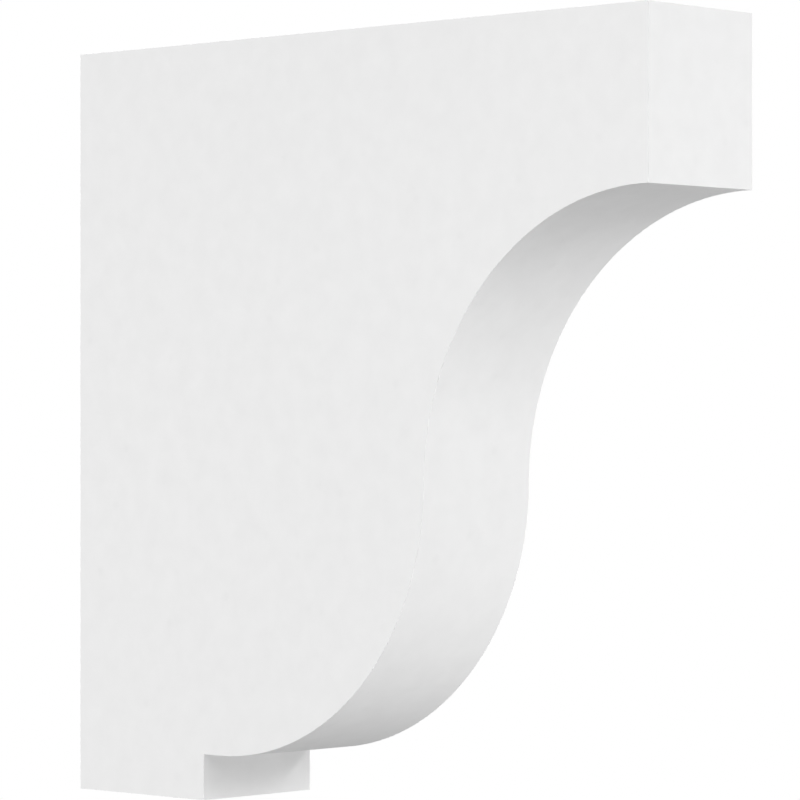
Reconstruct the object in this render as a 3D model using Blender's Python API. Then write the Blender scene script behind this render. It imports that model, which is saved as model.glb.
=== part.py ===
"""Architectural bracket: a solid block whose underside sweeps back from a square nose to a short foot.

All sizes are in metres. The origin is the centre of the flat back, which bears on the wall. +X runs across
the width, +Y points out of the back into the wall, so the nose is at -Y, and +Z is up.
"""

import math

import bmesh
import bpy

# Driving dimensions of the block.
WIDTH = 0.1016
DEPTH = 0.508
HEIGHT = 0.508

# The square nose at the front, and the short foot that is left under the curve at the back.
NOSE_HEIGHT = 0.110
FOOT_DEPTH = 0.1229
FOOT_HEIGHT = 0.0308

# The S-curve is two arcs of one radius that meet in a shared tangent: a hollow cove above a full belly.
ARC_RADIUS = 0.1843
ARC_STEPS = 36

# White cellular PVC with a satin skin.
PVC_COLOUR = (0.86, 0.86, 0.86, 1.0)
PVC_ROUGHNESS = 0.55

# Faces that meet at more than this angle keep a sharp edge between them.
SHARP_ANGLE = math.radians(30)

TOP = HEIGHT / 2
BOTTOM = -HEIGHT / 2
X_AXIS = (1.0, 0.0, 0.0)


def clear_scene():
    """Remove every object that the file holds."""
    for obj in list(bpy.data.objects):
        bpy.data.objects.remove(obj, do_unlink=True)


def arc_centres():
    """Return the (y, z) centres of the cove and of the belly.

    The cove leaves the nose level, so its centre is straight below the nose's lower edge. The belly ends
    level with the soffit in front of the foot. Two equal arcs touch where their centres lie two radii apart.
    """
    cove_y = -DEPTH
    cove_z = TOP - NOSE_HEIGHT - ARC_RADIUS
    belly_z = BOTTOM + FOOT_HEIGHT + ARC_RADIUS
    belly_y = cove_y + math.sqrt((2 * ARC_RADIUS) ** 2 - (belly_z - cove_z) ** 2)
    return (cove_y, cove_z), (belly_y, belly_z)


def sweep(mesh, start, centre, angle):
    """Spin one vertex about the X axis through a (y, z) centre, and return the vertex at the arc's end."""
    result = bmesh.ops.spin(
        mesh,
        geom=[start],
        cent=(start.co.x, *centre),
        axis=X_AXIS,
        angle=angle,
        steps=ARC_STEPS,
    )
    return result["geom_last"][0]


def straight_run(mesh, start, points):
    """Join edges on from one vertex through (y, z) points, and return the vertex at the end."""
    for y, z in points:
        end = mesh.verts.new((start.co.x, y, z))
        mesh.edges.new((start, end))
        start = end
    return start


def side_outline(mesh):
    """Draw the closed outline of the side at the left-hand face, x = -WIDTH / 2."""
    cove, belly = arc_centres()
    tilt = math.atan2(belly[1] - cove[1], belly[0] - cove[0])
    turn = math.pi / 2 - tilt
    nose_bottom = mesh.verts.new((-WIDTH / 2, -DEPTH, TOP - NOSE_HEIGHT))
    waist = sweep(mesh, nose_bottom, cove, -turn)
    belly_bottom = sweep(mesh, waist, belly, turn)
    nose_top = straight_run(
        mesh,
        belly_bottom,
        [
            (-FOOT_DEPTH, BOTTOM + FOOT_HEIGHT),
            (-FOOT_DEPTH, BOTTOM),
            (0.0, BOTTOM),
            (0.0, TOP),
            (-DEPTH, TOP),
        ],
    )
    mesh.edges.new((nose_top, nose_bottom))


def pvc_material():
    """Make the white plastic of the block."""
    material = bpy.data.materials.new("white_pvc")
    material.use_nodes = True
    shader = material.node_tree.nodes["Principled BSDF"]
    shader.inputs["Base Color"].default_value = PVC_COLOUR
    shader.inputs["Roughness"].default_value = PVC_ROUGHNESS
    shader.inputs["Metallic"].default_value = 0.0
    return material


def make_bracket():
    """Fill the side outline and extrude it across the full width."""
    mesh = bmesh.new()
    side_outline(mesh)
    side = bmesh.ops.contextual_create(mesh, geom=mesh.edges[:])["faces"]
    far_side = bmesh.ops.extrude_face_region(mesh, geom=side, use_keep_orig=True)["geom"]
    far_corners = [item for item in far_side if isinstance(item, bmesh.types.BMVert)]
    bmesh.ops.translate(mesh, vec=(WIDTH, 0.0, 0.0), verts=far_corners)
    bmesh.ops.recalc_face_normals(mesh, faces=mesh.faces[:])

    data = bpy.data.meshes.new("bracket")
    mesh.to_mesh(data)
    mesh.free()
    data.materials.append(pvc_material())
    data.shade_smooth()
    data.set_sharp_from_angle(angle=SHARP_ANGLE)
    bracket = bpy.data.objects.new("bracket", data)
    bpy.context.scene.collection.objects.link(bracket)


clear_scene()
make_bracket()
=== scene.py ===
import math

import bmesh
import bpy
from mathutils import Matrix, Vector


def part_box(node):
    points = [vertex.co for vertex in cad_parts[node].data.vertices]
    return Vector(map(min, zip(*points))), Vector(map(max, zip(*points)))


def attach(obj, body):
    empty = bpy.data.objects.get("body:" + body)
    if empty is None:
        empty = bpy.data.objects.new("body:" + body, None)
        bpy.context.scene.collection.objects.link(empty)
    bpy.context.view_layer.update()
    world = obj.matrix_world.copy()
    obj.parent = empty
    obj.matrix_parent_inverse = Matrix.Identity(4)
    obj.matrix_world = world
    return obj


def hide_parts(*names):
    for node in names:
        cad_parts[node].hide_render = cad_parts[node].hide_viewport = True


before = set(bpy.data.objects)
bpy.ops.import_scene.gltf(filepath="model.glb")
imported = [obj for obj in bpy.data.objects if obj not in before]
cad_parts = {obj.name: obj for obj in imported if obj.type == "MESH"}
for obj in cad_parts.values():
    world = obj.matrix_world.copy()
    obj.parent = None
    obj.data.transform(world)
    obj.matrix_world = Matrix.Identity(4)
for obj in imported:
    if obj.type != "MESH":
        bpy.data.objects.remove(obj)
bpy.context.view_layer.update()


# The camera is level with the block's middle and well out in front of the nose, to the left of it. Its lens
# is long, and slid up a little in place of a tilt, so that upright edges stay upright. The sensor and the
# focal length are in millimetres, and the slide is a share of the sensor's width.
SENSOR_WIDTH = 36.0
FOCAL_LENGTH = 173.4
LENS_SLIDE = 0.027
CAMERA_PLACE = (-1.84805, -1.98554, 0.0)
CAMERA_TURN = math.radians(-46.891)

lens = bpy.data.cameras.new("catalogue_camera")
lens.sensor_width = SENSOR_WIDTH
lens.lens = FOCAL_LENGTH
lens.shift_y = LENS_SLIDE
camera = bpy.data.objects.new("catalogue_camera", lens)
camera.location = CAMERA_PLACE
camera.rotation_euler = (math.pi / 2, 0.0, CAMERA_TURN)
bpy.context.scene.collection.objects.link(camera)
bpy.context.scene.camera = camera


# The bracket is one solid block of white cellular PVC. A router cuts its outline in one pass: a square nose,
# a hollow cove that runs into a full belly, and a short foot. Its corners are only just eased by hand.
NOSE_HEIGHT = 0.110
FOOT_DEPTH = 0.1229
FOOT_HEIGHT = 0.0308
ARC_RADIUS = 0.1843
ARC_STEPS = 120
EASED_EDGE = 0.0001
EASED_STEPS = 3
SHARP_ANGLE = math.radians(30)
LARGE_FACE_WEIGHT = 100


def arc_centres(low, high):
    """Return the (y, z) centres of the cove and of the belly.

    The cove leaves the nose level and the belly ends level, so each centre is plumb with its arc's end. Two
    equal arcs touch where their centres lie two radii apart.
    """
    cove_y = low.y
    cove_z = high.z - NOSE_HEIGHT - ARC_RADIUS
    belly_z = low.z + FOOT_HEIGHT + ARC_RADIUS
    belly_y = cove_y + math.sqrt((2 * ARC_RADIUS) ** 2 - (belly_z - cove_z) ** 2)
    return (cove_y, cove_z), (belly_y, belly_z)


def sweep(mesh, start, centre, angle):
    """Spin one corner about a (y, z) centre, and return the corner at the arc's end."""
    turned = bmesh.ops.spin(
        mesh,
        geom=[start],
        cent=(start.co.x, *centre),
        axis=(1.0, 0.0, 0.0),
        angle=angle,
        steps=ARC_STEPS,
    )
    return turned["geom_last"][0]


def cut_side(mesh, low, high):
    """Draw the outline of the side at the block's left face, and fill it."""
    cove, belly = arc_centres(low, high)
    turn = math.pi / 2 - math.atan2(belly[1] - cove[1], belly[0] - cove[0])
    nose_bottom = mesh.verts.new((low.x, low.y, high.z - NOSE_HEIGHT))
    waist = sweep(mesh, nose_bottom, cove, -turn)
    corner = sweep(mesh, waist, belly, turn)
    for y, z in (
        (-FOOT_DEPTH, low.z + FOOT_HEIGHT),
        (-FOOT_DEPTH, low.z),
        (high.y, low.z),
        (high.y, high.z),
        (low.y, high.z),
    ):
        following = mesh.verts.new((low.x, y, z))
        mesh.edges.new((corner, following))
        corner = following
    mesh.edges.new((corner, nose_bottom))
    return bmesh.ops.contextual_create(mesh, geom=mesh.edges[:])["faces"]


def ease_corners(mesh):
    """Round the outer corners by a hair, and leave the inner corner above the foot sharp."""
    corners = [
        edge for edge in mesh.edges
        if edge.is_convex and edge.calc_face_angle() > SHARP_ANGLE
    ]
    bmesh.ops.bevel(
        mesh,
        geom=corners,
        offset=EASED_EDGE,
        affect="EDGES",
        segments=EASED_STEPS,
        profile=0.5,
        material=-1,
    )


def cut_block(low, high):
    """Cut the side's outline through the block's full thickness."""
    mesh = bmesh.new()
    side = cut_side(mesh, low, high)
    far_side = bmesh.ops.extrude_face_region(mesh, geom=side, use_keep_orig=True)["geom"]
    far_corners = [item for item in far_side if isinstance(item, bmesh.types.BMVert)]
    bmesh.ops.translate(mesh, vec=(high.x - low.x, 0.0, 0.0), verts=far_corners)
    bmesh.ops.recalc_face_normals(mesh, faces=mesh.faces[:])
    ease_corners(mesh)
    block = bpy.data.meshes.new("ogee_bracket")
    mesh.to_mesh(block)
    mesh.free()
    return block


class Value:
    """A node's result. Expressions on it add Math nodes to its tree."""

    def __init__(self, shading, socket):
        self.shading = shading
        self.socket = socket

    def combined(self, operation, first, second):
        """Add the Math node of one operation on two values or numbers."""
        return self.shading.node("ShaderNodeMath", {"operation": operation}, {0: first, 1: second}, "Value")

    def __add__(self, other):
        return self.combined("ADD", self, other)

    def __sub__(self, other):
        return self.combined("SUBTRACT", self, other)

    def __rsub__(self, other):
        return self.combined("SUBTRACT", other, self)

    def __mul__(self, other):
        return self.combined("MULTIPLY", self, other)

    def __gt__(self, other):
        return self.combined("GREATER_THAN", self, other)

    def __lt__(self, other):
        return self.combined("LESS_THAN", self, other)

    __radd__ = __add__
    __rmul__ = __mul__


class Shading:
    """The node tree of a material or a world, to which nodes are added one at a time."""

    def __init__(self, owner):
        owner.use_nodes = True
        self.tree = owner.node_tree

    def feed(self, node, sockets):
        """Give each named socket of a node its value or its link."""
        for name, value in sockets.items():
            if isinstance(value, Value):
                self.tree.links.new(value.socket, node.inputs[name])
            else:
                node.inputs[name].default_value = value

    def node(self, kind, settings, sockets, result):
        """Add a node of one kind, set it up, feed its sockets, and return one of its results.

        A ramp's stops are pairs of a position and a shade of grey.
        """
        node = self.tree.nodes.new(kind)
        for name, value in settings.items():
            if name == "stops":
                for stop, (position, shade) in zip(node.color_ramp.elements, value):
                    stop.position = position
                    stop.color = (shade, shade, shade, 1.0)
            else:
                setattr(node, name, value)
        self.feed(node, sockets)
        return Value(self, node.outputs[result])


# The board's own white is a little uneven, in soft clouds a thumb's width apart and a few duller spots.
# Its two sides keep the smooth skin that the board is made with, and the cut faces are more open and matt.
DULLEST_WHITE = 0.83
PALEST_WHITE = 0.89
CLOUD_SPACING = 0.016
CLOUD_DETAIL = 3.0
CLOUD_FINENESS = 0.55
CLOUD_HEIGHT = 0.00003
SPOT_SPACING = 0.029
SPOT_RADIUS = 0.005
SPOT_DULLNESS = 0.3
SPOT_DEPTH = 0.00002
GRAIN_SPACING = 0.0011
GRAIN_DETAIL = 2.0
SKIN_GRAIN_HEIGHT = 0.000003
CUT_GRAIN_HEIGHT = 0.000006
SKIN_ROUGHNESS = 0.52
CUT_ROUGHNESS = 0.6
CLOUD_ROUGHNESS = 0.06
GLOSS = 0.3


def cellular_pvc(half_width):
    """Make the finish of the white board, on Object coordinates in metres."""
    material = bpy.data.materials.new("white_cellular_pvc")
    shading = Shading(material)
    place = shading.node("ShaderNodeTexCoord", {}, {}, "Object")

    clouds = shading.node(
        "ShaderNodeTexNoise",
        {"noise_dimensions": "3D"},
        {"Vector": place, "Scale": 1 / CLOUD_SPACING, "Detail": CLOUD_DETAIL, "Roughness": CLOUD_FINENESS},
        "Fac",
    )
    from_spot = shading.node(
        "ShaderNodeTexVoronoi",
        {"feature": "F1"},
        {"Vector": place, "Scale": 1 / SPOT_SPACING},
        "Distance",
    )
    spots = shading.node(
        "ShaderNodeMapRange",
        {"interpolation_type": "SMOOTHSTEP"},
        {"Value": from_spot, "From Min": SPOT_RADIUS / SPOT_SPACING, "From Max": 0.0},
        "Result",
    )
    grain = shading.node(
        "ShaderNodeTexNoise",
        {"noise_dimensions": "3D"},
        {"Vector": place, "Scale": 1 / GRAIN_SPACING, "Detail": GRAIN_DETAIL},
        "Fac",
    )
    across = shading.node("ShaderNodeSeparateXYZ", {}, {"Vector": place}, "X")
    from_middle = shading.node("ShaderNodeMath", {"operation": "ABSOLUTE"}, {0: across}, "Value")
    skin = from_middle > half_width - EASED_EDGE

    white = shading.node(
        "ShaderNodeValToRGB",
        {"stops": ((0.0, DULLEST_WHITE), (1.0, PALEST_WHITE))},
        {"Fac": clouds - SPOT_DULLNESS * spots},
        "Color",
    )
    grain_height = CUT_GRAIN_HEIGHT - (CUT_GRAIN_HEIGHT - SKIN_GRAIN_HEIGHT) * skin
    relief = shading.node(
        "ShaderNodeBump",
        {},
        {"Height": CLOUD_HEIGHT * clouds - SPOT_DEPTH * spots + grain_height * grain, "Distance": 1.0},
        "Normal",
    )
    shading.feed(shading.tree.nodes["Principled BSDF"], {
        "Base Color": white,
        "Roughness": CUT_ROUGHNESS - (CUT_ROUGHNESS - SKIN_ROUGHNESS) * skin + CLOUD_ROUGHNESS * clouds,
        "Specular IOR Level": GLOSS,
        "Normal": relief,
    })
    return material


low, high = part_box("bracket")
bracket = bpy.data.objects.new("ogee_bracket", cut_block(low, high))
bpy.context.scene.collection.objects.link(bracket)
bracket.data.materials.append(cellular_pvc(high.x))
bracket.data.shade_smooth()

# The large faces stay flat in their shading, right up to the eased corners.
even_shading = bracket.modifiers.new("even_shading", "WEIGHTED_NORMAL")
even_shading.mode = "FACE_AREA"
even_shading.weight = LARGE_FACE_WEIGHT
even_shading.keep_sharp = True

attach(bracket, "root")
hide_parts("bracket")


# The studio's light is soft: six square softboxes hang round the block and face its middle, and a wide bank
# shines straight down from overhead. The camera doesn't see them. It sees a plain white backdrop, which
# lights the block only a little.
AMBIENT = 0.05
OVERHEAD_BRIGHTNESS = 0.68
OVERHEAD_SPREAD = math.radians(30)
middle = (low + high) / 2


def hang_softbox(name, azimuth, elevation, size, distance, brightness):
    """Hang one panel that faces the block's middle.

    Its azimuth is in degrees round from +X, and its elevation in degrees up. Its brightness is that of its
    own face, so a larger panel gives more light.
    """
    panel = bpy.data.lights.new(name, "AREA")
    panel.shape = "SQUARE"
    panel.size = size
    panel.energy = math.pi * brightness * size ** 2
    round_from_x = math.radians(azimuth)
    up = math.radians(elevation)
    outwards = Vector((
        math.cos(round_from_x) * math.cos(up),
        math.sin(round_from_x) * math.cos(up),
        math.sin(up),
    ))
    softbox = bpy.data.objects.new(name, panel)
    softbox.location = middle + distance * outwards
    softbox.rotation_euler = outwards.to_track_quat("Z", "Y").to_euler()
    softbox.visible_camera = False
    bpy.context.scene.collection.objects.link(softbox)


hang_softbox("side_softbox", azimuth=157.2, elevation=-1.0, size=0.78, distance=5.2, brightness=108.5)
hang_softbox("corner_softbox", azimuth=235.9, elevation=11.0, size=0.33, distance=1.3, brightness=5.8)
hang_softbox("front_softbox", azimuth=263.4, elevation=25.3, size=2.85, distance=5.2, brightness=3.9)
hang_softbox("nose_softbox", azimuth=299.5, elevation=18.6, size=0.38, distance=2.0, brightness=21.8)
hang_softbox("low_softbox", azimuth=291.9, elevation=-49.4, size=0.33, distance=1.6, brightness=31.8)
hang_softbox("far_side_softbox", azimuth=25.0, elevation=12.0, size=1.5, distance=2.6, brightness=5.0)

overhead = bpy.data.lights.new("overhead_bank", "SUN")
overhead.angle = OVERHEAD_SPREAD
overhead.energy = math.pi * OVERHEAD_BRIGHTNESS
bank = bpy.data.objects.new("overhead_bank", overhead)
bpy.context.scene.collection.objects.link(bank)

world = bpy.data.worlds.new("white_backdrop")
backdrop = Shading(world)
seen = backdrop.node("ShaderNodeLightPath", {}, {}, "Is Camera Ray")
backdrop.feed(backdrop.tree.nodes["Background"], {
    "Color": (1.0, 1.0, 1.0, 1.0),
    "Strength": AMBIENT + (1.0 - AMBIENT) * seen,
})
bpy.context.scene.world = world
bpy.context.scene.view_settings.view_transform = "Standard"


# The floor is a plain pale disc, a storey below the block and under the camera's view. It is only faintly
# solid, and fades out towards its edge, so that it melts into the white backdrop.
FLOOR_Z = -4.0
FLOOR_RADIUS = 8.0
FLOOR_SIDES = 96
FADE_START = 2.0
FLOOR_SOLIDITY = 0.24
FLOOR_GREY = 0.8
FLOOR_ROUGHNESS = 0.9

disc = bmesh.new()
bmesh.ops.create_circle(disc, cap_ends=True, radius=FLOOR_RADIUS, segments=FLOOR_SIDES)
floor_mesh = bpy.data.meshes.new("pale_floor")
disc.to_mesh(floor_mesh)
disc.free()
pale_paint = bpy.data.materials.new("pale_floor")
pale_shading = Shading(pale_paint)
floor_place = pale_shading.node("ShaderNodeTexCoord", {}, {}, "Object")
out_from_middle = pale_shading.node(
    "ShaderNodeVectorMath",
    {"operation": "LENGTH"},
    {0: floor_place},
    "Value",
)
solid = pale_shading.node(
    "ShaderNodeMapRange",
    {"interpolation_type": "SMOOTHSTEP"},
    {"Value": out_from_middle, "From Min": FLOOR_RADIUS, "From Max": FADE_START, "To Max": FLOOR_SOLIDITY},
    "Result",
)
pale_shading.feed(pale_paint.node_tree.nodes["Principled BSDF"], {
    "Base Color": (FLOOR_GREY, FLOOR_GREY, FLOOR_GREY, 1.0),
    "Roughness": FLOOR_ROUGHNESS,
    "Specular IOR Level": 0.0,
    "Alpha": solid,
})
floor_mesh.materials.append(pale_paint)
floor = bpy.data.objects.new("pale_floor", floor_mesh)
floor.location.z = FLOOR_Z
bpy.context.scene.collection.objects.link(floor)
